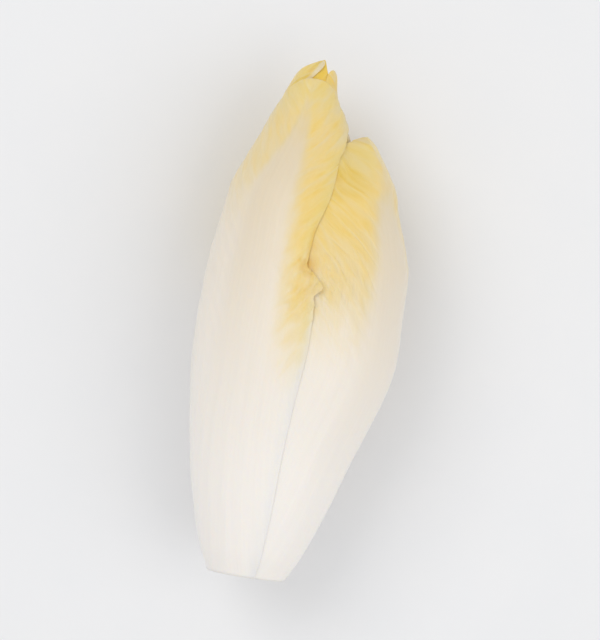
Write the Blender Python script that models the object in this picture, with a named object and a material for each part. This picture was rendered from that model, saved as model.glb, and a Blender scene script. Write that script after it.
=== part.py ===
"""A head of Belgian endive (witloof chicory), as picked and trimmed, lying on its side.

A short cut stem carries 21 leaves, each wrapped over the next. Every leaf is a blank slab, thick
along its midrib and thin at its edge, that is laid on the head over all the leaves inside it.
Leaves are counted from the outside in, and a leaf's place is its number, from 0.
"""

import math

import bmesh
import bpy
import numpy as np

# Lengths are in millimetres and angles in degrees. A height is a share of the head's length, from
# the cut end at 0 to the tip at 1. An azimuth is an angle around the head's axis: 0 is its right
# side, at +X, and 90 is straight up.
MM = 0.001
HEAD_LENGTH = 135.0
DEPTH_TO_WIDTH = 0.94  # the head is a little flatter than round
AXIS_ABOVE_TABLE = 23.6  # less than the head's half depth, so its belly has a flat patch
GAP = 0.8  # between one leaf and the next

HEAD_RADIUS = (  # at each height
    (0.0, 10.2),
    (0.05, 13.6),
    (0.22, 20.4),
    (0.46, 26.6),
    (0.6, 25.4),
    (0.725, 20.6),
    (0.86, 11.2),
    (0.88, 10.1),
    (0.93, 7.4),
    (0.975, 5.5),
    (1.0, 3.2),
)
AXIS_BEND = (  # how far the head's axis is to the right of a straight line from end to end
    (0.0, 0.0),
    (0.22, 1.0),
    (0.46, 3.7),
    (0.6, 3.6),
    (0.79, -0.5),
    (0.88, -1.7),
    (0.93, -2.1),
    (0.975, -1.4),
    (1.0, -0.3),
)

# Leaves grow at the golden angle, and each further leaf starts a little higher on the stem.
LEAF_GROUPS = (("outer_leaf", 5), ("middle_leaf", 6), ("inner_leaf", 5), ("heart_leaf", 5))
LEAF_COUNT = sum(count for _, count in LEAF_GROUPS)
FIRST_AZIMUTH = -17.5
LEAF_TURN = 137.5
CUT_LEAVES = 4  # the outermost leaves reach the cut end, and are cut off flush with the stem
BASE_STEP = 0.014

HALF_WIDTH = 30.0  # of a leaf, measured along the head's surface
WIDEST_HALF_ANGLE = 96.0  # no leaf wraps further round the head than this to either side
BASE_SHARE = 0.62  # a leaf's width at its base, as a share of its full width
WIDEST_AT = 0.62  # height at which a leaf is widest
WIDEST_STEP = 0.02
BLUNTNESS = 2.1  # exponent of the oval that rounds off a leaf's tip, where 2 is an ellipse

# What sets the first leaves apart. A lean turns a leaf's midrib by an angle between two heights.
OWN_SHAPE = (
    {"tip": 0.8, "azimuth": -32.0, "left": 12.0, "right": 10.5},
    {"tip": 0.96, "left": 31.0, "lean": (-32.0, 0.58, 1.04), "widest_at": 0.75, "blunt": 2.6},
    {"tip": 0.925},
    {"tip": 0.867, "azimuth": 32.0, "lean": (-30.0, 0.72, 0.92), "left": 38.0, "blunt": 1.5},
    {"tip": 0.998, "lean": (-95.0, 0.935, 1.02), "blunt": 2.4},
    {"tip": 0.983, "lean": (84.0, 0.82, 1.0)},
    {"tip": 1.0, "left": 27.0, "right": 27.0},
    {"tip": 0.955},
    {"tip": 0.95},
)
NEXT_TIP = 0.93  # where the first leaf after those ends
TIP_STEP = 0.032  # how much lower each leaf after it ends

RIB_SHARE = 0.165  # a leaf's thickness on its midrib, as a share of the head's radius there
EDGE_THICKNESS = 0.8
HEART_THINNING = 0.35  # how much thinner the innermost leaf is than the outermost

EDGE_REACH = 4.0  # a leaf still holds down what is under it this far past its own edge
EDGE_EASE = 10.0  # and from there the leaf under it rises to its full height over this distance
BASE_EASE = 3.0  # the same distance below a leaf's base
FULL_REACH_RADIUS = 13.0  # where the head is slimmer than this, the distances shrink with it

# The second leaf is torn: its right edge steps back above the tear and widens again at the top.
TORN_PLACE = 1
TORN_HALF_ANGLE = (
    (0.0, 70.0),
    (0.24, 49.0),
    (0.4, 42.0),
    (0.57, 41.0),
    (0.605, 30.0),
    (0.655, 30.5),
    (0.73, 38.0),
    (0.79, 45.5),
    (0.812, 49.5),
    (0.833, 61.0),
    (0.86, 77.0),
    (0.873, 92.0),
    (0.885, 106.0),
)

# The fourth leaf is loose: beyond the torn leaf's edge it stands off the head on the right.
LOOSE_PLACE = 3
LOOSE_LIFT = (
    (0.52, 0.0),
    (0.65, 1.6),
    (0.725, 3.6),
    (0.79, 7.0),
    (0.82, 7.8),
    (0.845, 7.8),
    (0.859, 7.4),
    (0.867, 6.8),
    (0.89, 0.0),
)
LIFT_STARTS = (  # the azimuth where the loose leaf comes out from under the torn one
    (0.0, 82.0),
    (0.72, 80.0),
    (0.79, 49.0),
    (0.833, 38.0),
    (0.85, 35.0),
    (0.855, 30.5),
    (0.861, 24.6),
    (0.867, 16.0),
    (0.88, 4.0),
)
LIFT_FLANK = 0.45  # share of that azimuth over which it comes up
LIFT_ENDS = -55.0
LIFT_END_FLANK = 40.0
MOST_STEEP = 4.0

STEM_HEIGHT = 0.3
STEM_RADIUS = ((0.0, 10.2), (0.08, 9.4), (0.2, 6.6), (0.27, 3.6), (0.3, 0.0))
STEM_CLEARANCE = 0.25

FINE_MESH, PLAIN_MESH = (12, 12, 8), (12, 8, 7)  # faces across a leaf, and along its two halves
FINE_PLACES = (TORN_PLACE, 2, LOOSE_PLACE)  # between the two is the leaf that the head lies on
ROWS_TO_TIP = 1.25  # above 1, the rows of faces are closer together at a leaf's tip
STEM_SIDES, STEM_RINGS = 24, 14

OUTER_COLOUR, HEART_COLOUR = (0.86, 0.79, 0.56), (0.85, 0.70, 0.28)
STEM_COLOUR = (0.84, 0.79, 0.68)
ROUGHNESS = 0.4


def curve(points, at):
    """Read a smooth curve through the points, which never overshoots them, at the given places."""
    x, y = np.array(points).T
    run = np.diff(x)
    rise = np.diff(y) / run
    before, after = rise[:-1], rise[1:]
    same_way = before * after > 0
    middle = np.where(same_way, 2 * before * after / np.where(same_way, before + after, 1), 0)
    slope = np.concatenate([rise[:1], middle, rise[-1:]])
    at = np.clip(at, x[0], x[-1])
    i = np.clip(np.searchsorted(x, at) - 1, 0, len(run) - 1)
    u = (at - x[i]) / run[i]
    start = y[i] * (1 + 2 * u) + slope[i] * run[i] * u
    end = y[i + 1] * (3 - 2 * u) - slope[i + 1] * run[i] * (1 - u)
    return start * (1 - u) ** 2 + end * u**2


def ease(value):
    """0 below 0, 1 above 1, and an S-curve between."""
    value = np.clip(value, 0.0, 1.0)
    return value * value * (3 - 2 * value)


def half_turn(angle):
    """The same angle in radians, between minus and plus half a turn."""
    return (angle + math.pi) % (2 * math.pi) - math.pi


def leaf_numbers(place):
    """The numbers that give one leaf its shape."""
    own = OWN_SHAPE[place] if place < len(OWN_SHAPE) else {}
    further = max(0, place - len(OWN_SHAPE))
    return {
        "place": place,
        "azimuth": own.get("azimuth", FIRST_AZIMUTH + LEAF_TURN * place),
        "lean": own.get("lean", (0.0, 0.0, 1.0)),
        "base": BASE_STEP * max(0, place + 1 - CUT_LEAVES),
        "tip": own.get("tip", NEXT_TIP - TIP_STEP * further),
        "left": own.get("left", HALF_WIDTH),
        "right": own.get("right", HALF_WIDTH),
        "blunt": own.get("blunt", BLUNTNESS),
        "widest_at": own.get("widest_at", WIDEST_AT - WIDEST_STEP * further),
        "share": 1 - HEART_THINNING * place / (LEAF_COUNT - 1),
    }


LEAVES = [leaf_numbers(place) for place in range(LEAF_COUNT)]


def midrib_azimuth(leaf, height):
    """In radians."""
    turn, start, end = leaf["lean"]
    return np.radians(leaf["azimuth"] + turn * ease((height - start) / (end - start)))


def half_angle(leaf, height, left):
    """How far a leaf wraps round the head to one side, before its tip is rounded off."""
    most = math.radians(WIDEST_HALF_ANGLE)
    width = np.where(left, leaf["left"], leaf["right"])
    angle = most * np.tanh(width / curve(HEAD_RADIUS, height) / most)
    if leaf["place"] == TORN_PLACE:
        angle = np.where(left, angle, np.radians(curve(TORN_HALF_ANGLE, height)))
    up = np.clip((height - leaf["base"]) / (leaf["widest_at"] - leaf["base"]), 0, 1)
    return angle * (BASE_SHARE + (1 - BASE_SHARE) * np.sin(up * math.pi / 2))


def place_in_leaf(leaf, height, azimuth):
    """How near a point is to a leaf's edge, from 0 on the midrib to 1, and how far past the edge."""
    turn = half_turn(azimuth - midrib_azimuth(leaf, height))
    angle = half_angle(leaf, height, turn > 0)
    radius = curve(HEAD_RADIUS, height)
    upper = leaf["tip"] - leaf["widest_at"]
    across = np.abs(turn) / angle
    up = np.maximum(0.0, (height - leaf["widest_at"]) / upper)
    share = (across ** leaf["blunt"] + up ** leaf["blunt"]) ** (1 / leaf["blunt"])
    steepness = np.hypot(across / (angle * radius), up / (upper * HEAD_LENGTH))
    past_edge = np.maximum(0, share - 1) * share / np.maximum(steepness, 1e-6)
    past_edge = past_edge / np.minimum(1, radius / FULL_REACH_RADIUS)
    past_base = np.maximum(0, leaf["base"] - height) * HEAD_LENGTH
    past_base = past_base * (EDGE_REACH + EDGE_EASE) / BASE_EASE
    return np.minimum(share, 1.0), np.hypot(past_edge, past_base)


def thickness(leaf, height, share):
    rib = curve(HEAD_RADIUS, height) * RIB_SHARE * leaf["share"]
    return EDGE_THICKNESS + np.maximum(rib - EDGE_THICKNESS, 0) * (1 - share**2) ** 2


def lift(height, azimuth):
    """How far the loose leaf stands off the head."""
    turn = np.degrees(half_turn(azimuth))
    top = ease((1 - turn / curve(LIFT_STARTS, height)) / LIFT_FLANK)
    bottom = ease((turn - LIFT_ENDS) / LIFT_END_FLANK)
    return curve(LOOSE_LIFT, height) * np.minimum(top, bottom)


def layer_radius(place, height, azimuth):
    """From the head's axis out to the leaf in this place, where each leaf outside it presses."""
    down = np.maximum(-np.sin(azimuth), 1e-6) * DEPTH_TO_WIDTH
    radius = np.minimum(curve(HEAD_RADIUS, height), AXIS_ABOVE_TABLE / down)
    if place <= LOOSE_PLACE:
        radius = radius + lift(height, azimuth)
    for outer in LEAVES[:place]:
        share, outside = place_in_leaf(outer, height, azimuth)
        held_down = 1 - ease((outside - EDGE_REACH) / EDGE_EASE)
        radius = radius - held_down * (thickness(outer, height, share) + GAP)
    return radius


def wall(leaf, height, azimuth):
    """A leaf's thickness measured towards the axis, which is more where the loose leaf is steep."""
    share, _ = place_in_leaf(leaf, height, azimuth)
    straight = thickness(leaf, height, share)
    if leaf["place"] != LOOSE_PLACE:
        return straight
    step = math.radians(1)
    near, far = (layer_radius(LOOSE_PLACE, height, azimuth + side) for side in (-step, step))
    steep = np.minimum(np.abs(far - near) / (near + far) / step, MOST_STEEP)
    return straight + np.minimum(straight * (np.hypot(1, steep) - 1), lift(height, azimuth))


def on_head(height, azimuth, radius):
    """The point in metres, with the head lying along Y and its cut end at -Y."""
    x = curve(AXIS_BEND, height) + radius * np.cos(azimuth)
    y = (height - 0.5) * HEAD_LENGTH
    z = AXIS_ABOVE_TABLE + DEPTH_TO_WIDTH * radius * np.sin(azimuth)
    return np.stack([x, y, z], axis=-1) * MM


def placed_mesh(name, bm, points):
    """A mesh of the bmesh with its vertices moved to the points."""
    for vert, point in zip(bm.verts, points):
        vert.co = point
    bmesh.ops.recalc_face_normals(bm, faces=bm.faces)
    mesh = bpy.data.meshes.new(name)
    bm.to_mesh(mesh)
    bm.free()
    mesh.shade_smooth()
    return mesh


def leaf_mesh(name, leaf):
    """A slab whose upper half is drawn in to an oval, laid on the head."""
    across, lower, upper = FINE_MESH if leaf["place"] in FINE_PLACES else PLAIN_MESH
    bm = bmesh.new()
    bmesh.ops.create_grid(bm, x_segments=across, y_segments=lower + upper, size=1.0)
    made = bmesh.ops.extrude_face_region(bm, geom=bm.faces[:], use_keep_orig=True)["geom"]
    inside = [item for item in made if isinstance(item, bmesh.types.BMVert)]
    bmesh.ops.translate(bm, verts=inside, vec=(0, 0, 1))
    side, row, inner = np.array([vert.co for vert in bm.verts]).T
    row = (row + 1) / 2 * (lower + upper) - lower
    below = np.minimum(row / lower, 0)
    above = 1 - (1 - np.clip(row / upper, 0, 1)) ** ROWS_TO_TIP
    side, above = side * np.sqrt(1 - above**2 / 2), above * np.sqrt(1 - side**2 / 2)
    oval = (np.abs(side) ** leaf["blunt"] + above ** leaf["blunt"]) ** (1 / leaf["blunt"])
    pull = np.where(above > 0, np.hypot(side, above) / np.maximum(oval, 1e-9), 1.0)
    side, above = side * pull, above * pull
    height = leaf["widest_at"] + above * (leaf["tip"] - leaf["widest_at"])
    height = height + below * (leaf["widest_at"] - leaf["base"])
    azimuth = midrib_azimuth(leaf, height) + side * half_angle(leaf, height, side > 0)
    radius = layer_radius(leaf["place"], height, azimuth) - inner * wall(leaf, height, azimuth)
    return placed_mesh(name, bm, on_head(height, azimuth, radius))


def stem_mesh(name):
    """A turned cone with a flat cut end, pressed in wherever the base of a leaf sits on it."""
    bm = bmesh.new()
    heights = np.linspace(0, STEM_HEIGHT, STEM_RINGS)
    profile = [(0.0, 0.0)] + list(zip(curve(STEM_RADIUS, heights), heights))
    verts = [bm.verts.new((radius, height, 0)) for radius, height in profile]
    edges = [bm.edges.new(pair) for pair in zip(verts, verts[1:])]
    axis = {"cent": (0, 0, 0), "axis": (0, 1, 0), "angle": math.tau, "steps": STEM_SIDES}
    bmesh.ops.spin(bm, geom=verts + edges, use_merge=True, use_duplicate=False, **axis)
    bmesh.ops.remove_doubles(bm, verts=bm.verts, dist=1e-5)
    x, height, z = np.array([vert.co for vert in bm.verts]).T
    azimuth = np.arctan2(z, x)
    room = layer_radius(LEAF_COUNT, height, azimuth) - STEM_CLEARANCE
    return placed_mesh(name, bm, on_head(height, azimuth, np.minimum(np.hypot(x, z), room)))


def skin(name, colour):
    material = bpy.data.materials.new(name)
    material.use_nodes = True
    shader = material.node_tree.nodes["Principled BSDF"]
    shader.inputs["Base Color"].default_value = (*colour, 1.0)
    shader.inputs["Roughness"].default_value = ROUGHNESS
    shader.inputs["Metallic"].default_value = 0.0
    return material


def main():
    for obj in list(bpy.data.objects):
        bpy.data.objects.remove(obj)
    head = bpy.data.collections.new("belgian_endive")
    bpy.context.scene.collection.children.link(head)

    names = [f"{group}_{number + 1}" for group, count in LEAF_GROUPS for number in range(count)]
    colours = np.linspace(OUTER_COLOUR, HEART_COLOUR, LEAF_COUNT)
    pieces = [(leaf_mesh(name, leaf), colour) for name, leaf, colour in zip(names, LEAVES, colours)]
    pieces.append((stem_mesh("stem"), STEM_COLOUR))

    across = np.array([vert.co.x for mesh, _ in pieces for vert in mesh.vertices])
    middle = (across.min() + across.max()) / 2
    for mesh, colour in pieces:
        mesh.materials.append(skin(mesh.name, colour))
        piece = bpy.data.objects.new(mesh.name, mesh)
        piece.location.x = -middle
        head.objects.link(piece)


main()
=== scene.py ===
# %% [markdown]
# # A head of Belgian endive
#
# Belgian endive, or witloof, is a chicory grown in the dark. Without light its leaves stay white and
# fold over each other in a tight head, and only their thin upper edges turn a pale yellow.
#
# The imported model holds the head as 22 plain solids: 21 leaves and a stem. This lesson keeps that
# frame and lays a finely modelled piece over each solid. The leaves get thin edges, raised ribs and
# veins, crinkled margins and a skin that lets a little light through.

# %% Load the frame
import math

import bmesh
import bpy
import numpy as np
from mathutils import Matrix, Vector, noise


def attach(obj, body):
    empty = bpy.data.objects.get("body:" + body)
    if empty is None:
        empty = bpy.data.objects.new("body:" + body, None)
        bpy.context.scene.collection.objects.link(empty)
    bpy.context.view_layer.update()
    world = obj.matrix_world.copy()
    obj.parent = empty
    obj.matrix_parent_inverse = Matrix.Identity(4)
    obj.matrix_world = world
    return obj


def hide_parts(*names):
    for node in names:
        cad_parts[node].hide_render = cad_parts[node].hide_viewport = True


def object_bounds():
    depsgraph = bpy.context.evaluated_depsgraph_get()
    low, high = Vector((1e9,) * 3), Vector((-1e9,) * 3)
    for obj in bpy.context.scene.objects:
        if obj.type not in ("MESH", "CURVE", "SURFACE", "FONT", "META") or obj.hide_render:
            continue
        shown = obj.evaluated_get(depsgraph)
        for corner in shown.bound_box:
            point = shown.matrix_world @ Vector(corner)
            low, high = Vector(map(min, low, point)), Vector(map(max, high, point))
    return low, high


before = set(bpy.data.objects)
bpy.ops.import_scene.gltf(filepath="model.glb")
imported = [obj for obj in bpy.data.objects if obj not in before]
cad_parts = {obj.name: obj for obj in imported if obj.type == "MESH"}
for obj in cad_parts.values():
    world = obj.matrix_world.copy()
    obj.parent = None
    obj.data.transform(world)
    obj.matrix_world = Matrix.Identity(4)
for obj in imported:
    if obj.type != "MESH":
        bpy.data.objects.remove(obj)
cad_box = [list(corner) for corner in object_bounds()]
print("nodes in the frame:", len(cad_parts))

# %% [markdown]
# ## Where a point on the head is
#
# A leaf is awkward to place in X, Y and Z, because it is wrapped round a spindle. So every point is
# first given in the head's own terms:
#
# - its height, from 0 at the cut end to 1 at the tip,
# - its azimuth, the angle round the axis, with 0 on the right and 90 degrees straight up,
# - its radius, the distance from the axis.
#
# One function turns these into a place. The head's length comes from the frame, and its outline is a
# smooth curve through a few radii. All lengths are in millimetres, and each mesh is made in metres.

# %% The head's own measures
MM = 0.001
low, high = (np.array(corner) / MM for corner in cad_box)
HEAD_LENGTH = high[1] - low[1]
AXIS_ABOVE_TABLE = 23.6
DEPTH_TO_WIDTH = 0.94
HEAD_RADIUS = (  # by height
    (0.0, 10.2),
    (0.05, 13.6),
    (0.22, 20.4),
    (0.46, 26.6),
    (0.6, 25.4),
    (0.725, 20.6),
    (0.86, 11.2),
    (0.88, 10.1),
    (0.93, 7.1),
    (0.975, 4.75),
    (1.0, 2.5),
)
AXIS_BEND = (  # by height, how far the axis strays to the right of a straight line
    (0.0, 0.0),
    (0.22, 1.0),
    (0.46, 3.7),
    (0.6, 3.6),
    (0.79, -0.5),
    (0.88, -1.7),
    (0.93, -2.1),
    (0.975, -1.4),
    (1.0, -0.3),
)
print(f"the head is {HEAD_LENGTH:.0f} mm long and {high[0] - low[0]:.0f} mm wide")


# %% Read a smooth curve
def curve(points, at):
    """Read a smooth curve through the points, which never overshoots them."""
    x, y = np.array(points).T
    run = np.diff(x)
    rises = np.diff(y) / run
    before, after = rises[:-1], rises[1:]
    same_way = before * after > 0
    middle = np.where(same_way, 2 * before * after / np.where(same_way, before + after, 1), 0)
    slope = np.concatenate([rises[:1], middle, rises[-1:]])
    at = np.clip(at, x[0], x[-1])
    i = np.clip(np.searchsorted(x, at) - 1, 0, len(run) - 1)
    u = (at - x[i]) / run[i]
    start = y[i] * (1 + 2 * u) + slope[i] * run[i] * u
    end = y[i + 1] * (3 - 2 * u) - slope[i + 1] * run[i] * (1 - u)
    return start * (1 - u) ** 2 + end * u**2


print(f"half way up, the head's radius is {curve(HEAD_RADIUS, 0.5):.1f} mm")


# %% Soft steps and angles
TINY = 1e-6  # keeps a division away from zero


def rise(value, start, end):
    """0 up to the start, 1 from the end on, and an S-curve between."""
    value = np.clip((value - start) / (end - start), 0.0, 1.0)
    return value * value * (3 - 2 * value)


def half_turn(angle):
    """The same angle, between minus and plus half a turn."""
    return (angle + math.pi) % (2 * math.pi) - math.pi


print("a quarter of the way through a soft step:", rise(0.25, 0.0, 1.0))


# %% From the head's own terms to a place
def on_head(height, azimuth, radius):
    """The place in millimetres, before the head is centred."""
    x = curve(AXIS_BEND, height) + radius * np.cos(azimuth)
    y = low[1] + height * HEAD_LENGTH
    z = AXIS_ABOVE_TABLE + DEPTH_TO_WIDTH * radius * np.sin(azimuth)
    return np.stack([x, y, z], axis=-1)


print("the tip of the axis is at", on_head(1.0, 0.0, 0.0).round(1), "mm")

# %% [markdown]
# ## The growing plan
#
# A chicory puts out each leaf 137.5 degrees round from the one before, which is the golden angle. Each
# leaf reaches a little less high than the one outside it, and its flesh is a little thinner.
#
# A real head isn't quite so regular. Random changes would give some head, but not this one, so the
# leaves that show have numbers of their own.

# %% Leaves, from the outside in
LEAF_GROUPS = (("outer_leaf", 5), ("middle_leaf", 6), ("inner_leaf", 5), ("heart_leaf", 5))
NAMES = [f"{group}_{number + 1}" for group, count in LEAF_GROUPS for number in range(count)]
TORN_PLACE, LOOSE_PLACE, ROLLED_PLACE = 1, 3, 4
FIRST_AZIMUTH, LEAF_TURN = -17.5, 137.5  # in degrees
CUT_LEAVES, BASE_STEP = 4, 0.014  # four leaves start at the cut, and each next one a step higher
HALF_WIDTH = 30.0
WIDEST_AT, WIDEST_STEP = 0.62, 0.02
BLUNTNESS = 2.1  # of the tip, where 2 is an ellipse
NEXT_TIP, TIP_STEP = 0.955, 0.035
HEART_THINNING = 0.35
print("leaves:", ", ".join(NAMES))

# %% [markdown]
# A leaf's own numbers are:
#
# - `tip` and `base`, the heights between which it lies, and `widest_at`, where it is widest,
# - `azimuth`, where its midrib is, and `lean`, how far that turns and between which heights,
# - `left` and `right`, how wide it is to each side of the midrib,
# - `blunt`, how square its tip is,
# - `ripe`, how yellow its left and right sides are, `pale_to`, how far to the left of the midrib they
#   meet, and `pale_edge`, how much of the yellow its margins lose to painted light,
# - `rib`, how strong its midrib is, and `rib_to`, between which shares of its length that fades.

# %% The leaves that show
RIPE = (0.5, 0.8, 1.0)  # where a side starts to turn yellow, where it is ripe, and how yellow
SLIGHT, FULL = (0.6, 0.95, 0.6), (0.5, 0.8, 0.68)
OWN_NUMBERS = (
    # Low on the right.
    {"tip": 0.8, "azimuth": -38.0, "left": 11.0, "right": 10.5, "ripe": (SLIGHT, SLIGHT)},
    # In front, and torn.
    {
        "tip": 0.96,
        "left": 31.0,
        "lean": (-32.0, 0.66, 1.0),
        "widest_at": 0.75,
        "blunt": 2.6,
        "ripe": ((0.6, 0.95, 0.7), (0.3, 0.67, 0.82)),
        "pale_edge": 0.35,
        "rib_to": (0.88, 1.0),
    },
    # Underneath.
    {"tip": 0.925},
    # On the right, and loose.
    {
        "tip": 0.867,
        "azimuth": 32.0,
        "lean": (-30.0, 0.72, 0.92),
        "left": 38.0,
        "blunt": 1.5,
        "ripe": ((0.4, 0.9, 1.0), (0.6, 0.9, 0.68)),
        "pale_to": 3.5,
        "rib": 0.82,
        "rib_to": (0.8, 0.98),
    },
    # At the back, and rolled in over the tip.
    {
        "tip": 0.998,
        "base": 0.0,
        "lean": (-95.0, 0.935, 1.02),
        "blunt": 2.4,
        "rib_to": (0.8, 0.92),
    },
    # Four points of the tip, of which the first is the right one.
    {"tip": 0.983, "lean": (84.0, 0.82, 1.0), "ripe": (FULL, FULL), "rib_to": (0.75, 0.87)},
    {"tip": 1.0, "left": 27.0, "right": 27.0, "rib_to": (0.8, 0.92)},
    {"tip": 0.985},
    {"tip": 0.975},
)
print("leaves with numbers of their own:", len(OWN_NUMBERS))


# %% Number every leaf
def leaf_numbers(place):
    """The usual numbers of the leaf at this place, and over them its own."""
    further = max(0, place - len(OWN_NUMBERS))  # places in from the leaves that show
    leaf = {
        "place": place,
        "name": NAMES[place],
        "azimuth": FIRST_AZIMUTH + LEAF_TURN * place,
        "lean": (0.0, 0.0, 1.0),
        "base": BASE_STEP * max(0, place + 1 - CUT_LEAVES),
        "tip": NEXT_TIP - TIP_STEP * further,
        "widest_at": WIDEST_AT - WIDEST_STEP * further,
        "left": HALF_WIDTH,
        "right": HALF_WIDTH,
        "blunt": BLUNTNESS,
        "flesh": 1 - HEART_THINNING * place / (len(NAMES) - 1),
        "ripe": (RIPE, RIPE),
        "pale_to": 0.0,
        "pale_edge": 0.0,
        "rib": 1.0,
        "rib_to": (1.0, 1.1),
    }
    leaf.update(OWN_NUMBERS[place] if place < len(OWN_NUMBERS) else {})
    return leaf


LEAVES = [leaf_numbers(place) for place in range(len(NAMES))]
print(f"the innermost leaf reaches {LEAVES[-1]['tip']:.2f} of the way up")

# %% [markdown]
# ## A leaf's outline
#
# A witloof leaf is a long paddle. Its base is two thirds as wide as its middle, it is widest well
# above the middle, and its tip is a blunt oval. Half of that width is held as an angle round the
# head, so that a leaf narrows where the head does.
#
# The second leaf is torn. Its right edge is a curve of its own, which steps back at the tear.

# %% How far a leaf wraps round the head
WIDEST_HALF_ANGLE = math.radians(96.0)
BASE_SHARE = 0.62
TORN_HALF_ANGLE = (  # by height, in degrees
    (0.0, 70.0),
    (0.24, 49.0),
    (0.4, 40.6),
    (0.46, 39.7),
    (0.54, 38.3),
    (0.57, 39.8),
    (0.605, 30.3),
    (0.655, 32.8),
    (0.73, 42.5),
    (0.79, 49.0),
    (0.812, 52.2),
    (0.833, 63.0),
    (0.86, 77.9),
    (0.873, 92.5),
    (0.885, 106.0),
)


def midrib_azimuth(leaf, height):
    turn, start, end = leaf["lean"]
    return np.radians(leaf["azimuth"] + turn * rise(height, start, end))


def half_angle(leaf, height, left):
    """How far a leaf wraps round to one side, before its tip is rounded off."""
    width = np.where(left, leaf["left"], leaf["right"])
    angle = WIDEST_HALF_ANGLE * np.tanh(width / curve(HEAD_RADIUS, height) / WIDEST_HALF_ANGLE)
    if leaf["place"] == TORN_PLACE:
        angle = np.where(left, angle, np.radians(curve(TORN_HALF_ANGLE, height)))
    up = np.clip((height - leaf["base"]) / (leaf["widest_at"] - leaf["base"]), 0, 1)
    return angle * (BASE_SHARE + (1 - BASE_SHARE) * np.sin(up * math.pi / 2))


wrapped = np.degrees(half_angle(LEAVES[TORN_PLACE], 0.5, True))
print(f"half way up, the torn leaf wraps {wrapped:.0f} degrees round to the left")

# %% [markdown]
# To pack the leaves, each one has to know how far any point of the head is from its edge. The exact
# distance to a blunt oval is hard work, but the value of the oval's own formula, divided by how
# steeply it changes, comes close enough.

# %% How near a point is to a leaf's edge
HELD_TO, FREE_FROM = 0.5, 9.5  # how far past its edge a leaf holds the next one down, and frees it
FREE_BELOW_BASE = 3.0  # past its base it frees it sooner
FULL_REACH_RADIUS = 13.0  # and sooner too where the head is thinner than this


def place_in_leaf(leaf, height, azimuth):
    """How near a point is to a leaf's edge, from 0 on the midrib to 1, and how far past the edge.

    The second is below 0 on the leaf itself.
    """
    turn = half_turn(azimuth - midrib_azimuth(leaf, height))
    angle = half_angle(leaf, height, turn > 0)
    radius = curve(HEAD_RADIUS, height)
    upper = leaf["tip"] - leaf["widest_at"]
    across = np.abs(turn) / angle
    up = np.maximum(0.0, (height - leaf["widest_at"]) / upper)
    share = (across ** leaf["blunt"] + up ** leaf["blunt"]) ** (1 / leaf["blunt"])
    steepness = np.hypot(across / (angle * radius), up / (upper * HEAD_LENGTH))
    past_edge = (share - 1) * share / np.maximum(steepness, TINY)
    past_edge = past_edge / np.minimum(1, radius / FULL_REACH_RADIUS)
    past_base = np.maximum(0, leaf["base"] - height) * HEAD_LENGTH
    past_base = past_base * FREE_FROM / FREE_BELOW_BASE
    past_both = np.hypot(np.maximum(past_edge, 0), past_base)
    return np.minimum(share, 1.0), np.where(past_base > 0, past_both, past_edge)


beside = place_in_leaf(LEAVES[TORN_PLACE], 0.5, math.radians(60.0))[1]
print(f"60 degrees up on the right, the torn leaf's edge is {beside:.0f} mm away")

# %% [markdown]
# ## Packing the leaves
#
# Leaves could be pushed into place by a cloth simulation, but 21 thick layers would take minutes and
# still cut through each other. The head is packed from the outside in instead: a leaf lies under the
# thickness of each leaf outside it, wherever that leaf covers it. Past a leaf's edge the one below
# rises again over a few millimetres, so the edges fade into the head as real ones do.

# %% How thick a leaf is
GAP = 0.07
RIB_SHARE = 0.185  # of the head's radius
EDGE_THICKNESS = 0.2


def thickness(leaf, height, share):
    rib = curve(HEAD_RADIUS, height) * RIB_SHARE * leaf["flesh"]
    return EDGE_THICKNESS + np.maximum(rib - EDGE_THICKNESS, 0) * (1 - share**2) ** 2


print(f"half way up, the first leaf's midrib is {thickness(LEAVES[0], 0.5, 0.0):.1f} mm thick")

# %% [markdown]
# The fourth leaf is loose. Above the tear it stands off the head by up to six millimetres. It could
# be bent by an armature, but the leaves under it have to stay packed. So it is given more radius
# there, as are the leaves outside it, with a flank that starts beside the torn leaf.

# %% How far the loose leaf stands off
LOOSE_LIFT = (  # by height
    (0.52, 0.0),
    (0.65, 1.6),
    (0.725, 3.6),
    (0.79, 6.3),
    (0.82, 6.3),
    (0.845, 6.1),
    (0.859, 5.6),
    (0.867, 5.0),
    (0.89, 0.0),
)
LIFT_STARTS = (  # by height, the azimuth in degrees of the flank's foot
    (0.0, 82.0),
    (0.72, 80.0),
    (0.79, 49.0),
    (0.833, 38.0),
    (0.85, 35.0),
    (0.855, 30.5),
    (0.861, 24.6),
    (0.867, 16.0),
    (0.88, 4.0),
)
LIFT_FLANK = 0.45  # the flank's width, as a share of that azimuth
LIFT_BELOW = (-55.0, -15.0)  # degrees over which it comes down again on the right


def lift(height, azimuth):
    """How far the loose leaf is lifted off the head."""
    turn = np.degrees(half_turn(azimuth))
    top = rise(1 - turn / curve(LIFT_STARTS, height), 0.0, LIFT_FLANK)
    bottom = rise(turn, *LIFT_BELOW)
    return curve(LOOSE_LIFT, height) * np.minimum(top, bottom)


print(f"on the right at 0.8, the loose leaf stands off by {lift(0.8, 0.0):.1f} mm")


# %% The layers of the head
def above_table(azimuth, radius):
    """The radius, or less where that would reach into the table."""
    down = np.maximum(-np.sin(azimuth), TINY) * DEPTH_TO_WIDTH
    return np.minimum(radius, AXIS_ABOVE_TABLE / down)


def layer(place, height, azimuth):
    """The radius of a leaf's outer face, and how free it is of other leaves, from 0 to 1."""
    radius = above_table(azimuth, curve(HEAD_RADIUS, height))
    free = np.ones_like(height)
    if place <= LOOSE_PLACE:
        radius = radius + lift(height, azimuth)
    for outer in LEAVES[:place]:
        share, outside = place_in_leaf(outer, height, azimuth)
        held_down = 1 - rise(outside, HELD_TO, FREE_FROM)
        radius = radius - held_down * (thickness(outer, height, share) + GAP)
        free = free * (1 - held_down)
    return radius, free


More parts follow.
